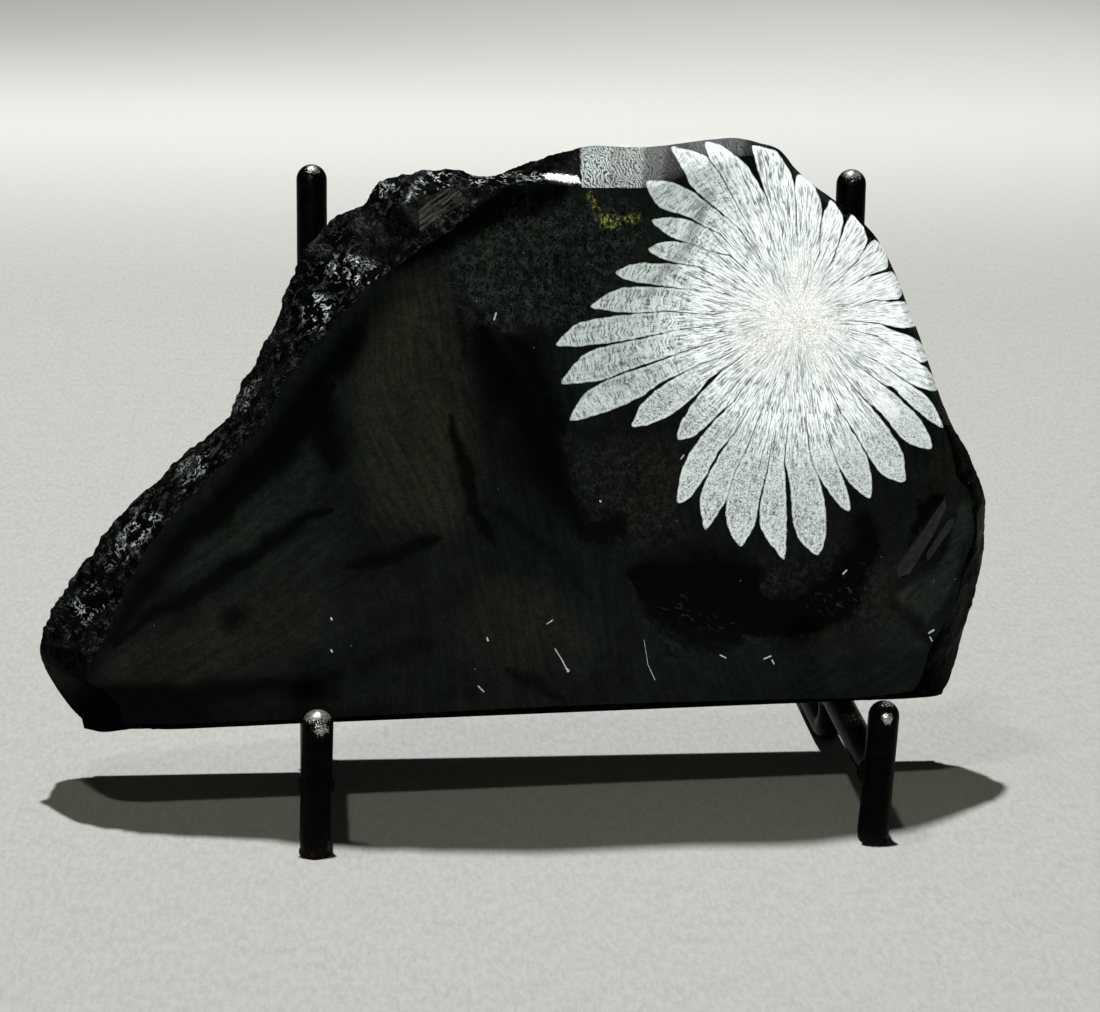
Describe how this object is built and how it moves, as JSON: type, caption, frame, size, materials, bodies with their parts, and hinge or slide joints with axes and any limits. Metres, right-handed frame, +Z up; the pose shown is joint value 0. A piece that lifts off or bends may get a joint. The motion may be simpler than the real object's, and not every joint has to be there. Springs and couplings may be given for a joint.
{
  "type": "chrysanthemum stone on a rod stand",
  "caption": "Polished black stone slab with a white radial mineral flower in its face, leaning upright on a black bent-rod stand with short front posts.",
  "frame": {"origin": "middle of the bounding box in plan, on the surface that the stand's feet rest on", "axes": "+X to the viewer's right along the slab, +Y from the polished face to the back, +Z up"},
  "size_m": [0.2046, 0.0914, 0.1385],
  "materials": {
    "stone": "polished black face with a white flower, broken glossy edge",
    "rod_paint": "semi-gloss black paint, worn to bare metal on the domed tips"
  },
  "bodies": {
    "root": {"stone": "stone", "left_front_post": "rod_paint", "right_front_post": "rod_paint", "left_ledge": "rod_paint", "right_ledge": "rod_paint", "left_upright": "rod_paint", "right_upright": "rod_paint", "left_rear_foot": "rod_paint", "right_rear_foot": "rod_paint", "lower_cross_bar": "rod_paint", "upper_cross_bar": "rod_paint"}
  },
  "joints": []
}
